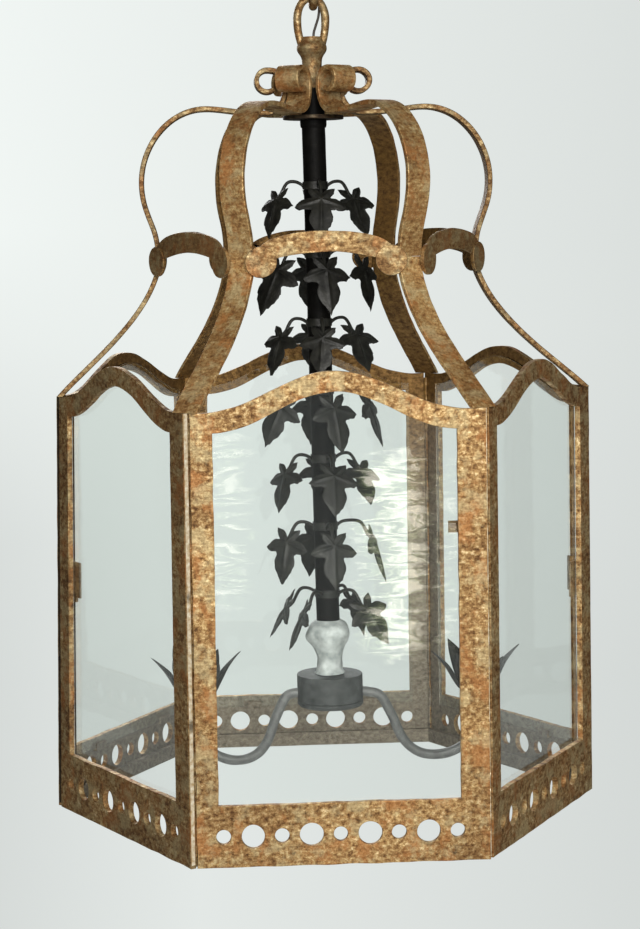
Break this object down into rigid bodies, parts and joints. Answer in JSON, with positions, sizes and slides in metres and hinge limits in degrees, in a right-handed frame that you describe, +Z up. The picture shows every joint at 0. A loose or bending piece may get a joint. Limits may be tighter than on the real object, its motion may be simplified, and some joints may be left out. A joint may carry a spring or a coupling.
{
  "type": "hanging lantern",
  "caption": "Six-sided hanging lantern with glazed plate sides, bar roof, scrolled crown, ivy stem and candle arms, on a chain link below a ceiling plate.",
  "frame": {"origin": "middle of the ceiling plate's flat top face, where it lies against the ceiling", "axes": "+Z up along the stem, -Y out of the front glass panel, +X to the right seen from the front, towards one candle arm"},
  "size_m": [0.56, 0.495, 0.9057],
  "materials": {
    "gilded_iron": "old gilding worn to brown and rust",
    "black_iron": "satin black, dusty",
    "grey_iron": "worn dark grey",
    "bare_steel": "zinc plated",
    "clear_glass": "clear, slightly green",
    "ivory_sleeve": "ivory card-like sleeve",
    "dark_plastic": "dark moulded",
    "brown_cord": "thin sheathed wire"
  },
  "bodies": {
    "canopy": {"canopy": "gilded_iron", "canopy_eye": "gilded_iron", "ceiling_plate": "bare_steel"},
    "link": {"chain_link": "gilded_iron", "supply_cord_upper": "brown_cord"},
    "lantern": {"panel_frame_front": "gilded_iron", "glass_pane_front": "clear_glass", "panel_frame_front_right": "gilded_iron", "glass_pane_front_right": "clear_glass", "panel_frame_back_right": "gilded_iron", "glass_pane_back_right": "clear_glass", "panel_frame_back": "gilded_iron", "glass_pane_back": "clear_glass", "panel_frame_back_left": "gilded_iron", "glass_pane_back_left": "clear_glass", "panel_frame_front_left": "gilded_iron", "glass_pane_front_left": "clear_glass", "base_ring": "gilded_iron", "roof_rib_front_right": "gilded_iron", "crown_rib_front_right": "gilded_iron", "roof_rib_right": "gilded_iron", "crown_rib_right": "gilded_iron", "roof_rib_back_right": "gilded_iron", "crown_rib_back_right": "gilded_iron", "roof_rib_back_left": "gilded_iron", "crown_rib_back_left": "gilded_iron", "roof_rib_left": "gilded_iron", "crown_rib_left": "gilded_iron", "roof_rib_front_left": "gilded_iron", "crown_rib_front_left": "gilded_iron", "neck_plate_front": "gilded_iron", "neck_plate_front_right": "gilded_iron", "neck_plate_back_right": "gilded_iron", "neck_plate_back": "gilded_iron", "neck_plate_back_left": "gilded_iron", "neck_plate_front_left": "gilded_iron", "stem": "black_iron", "crown_plate": "gilded_iron", "stem_collar": "black_iron", "lantern_loop": "gilded_iron", "leaf_spray_7": "black_iron", "leaf_spray_6": "black_iron", "leaf_spray_5": "black_iron", "leaf_spray_4": "black_iron", "leaf_spray_3": "black_iron", "leaf_spray_2": "black_iron", "leaf_spray_1": "black_iron", "stem_cup": "grey_iron", "hub": "grey_iron", "hub_cover": "grey_iron", "stem_nut": "black_iron", "arm_left": "black_iron", "leaf_cup_left": "black_iron", "candle_sleeve_left": "ivory_sleeve", "lampholder_left": "dark_plastic", "arm_right": "black_iron", "leaf_cup_right": "black_iron", "candle_sleeve_right": "ivory_sleeve", "lampholder_right": "dark_plastic", "supply_cord_lower": "brown_cord"}
  },
  "joints": [
    {"name": "link_swing", "type": "hinge", "parent": "canopy", "child": "link", "pos_m": [0, 0, -0.0525], "axis": [1, 0, 0], "range_deg": [-30, 30], "deforming": ["supply_cord_upper"]},
    {"name": "lantern_swing", "type": "hinge", "parent": "link", "child": "lantern", "pos_m": [0, 0, -0.0897], "axis": [0, 1, 0], "range_deg": [-30, 30], "deforming": ["supply_cord_lower"]}
  ]
}
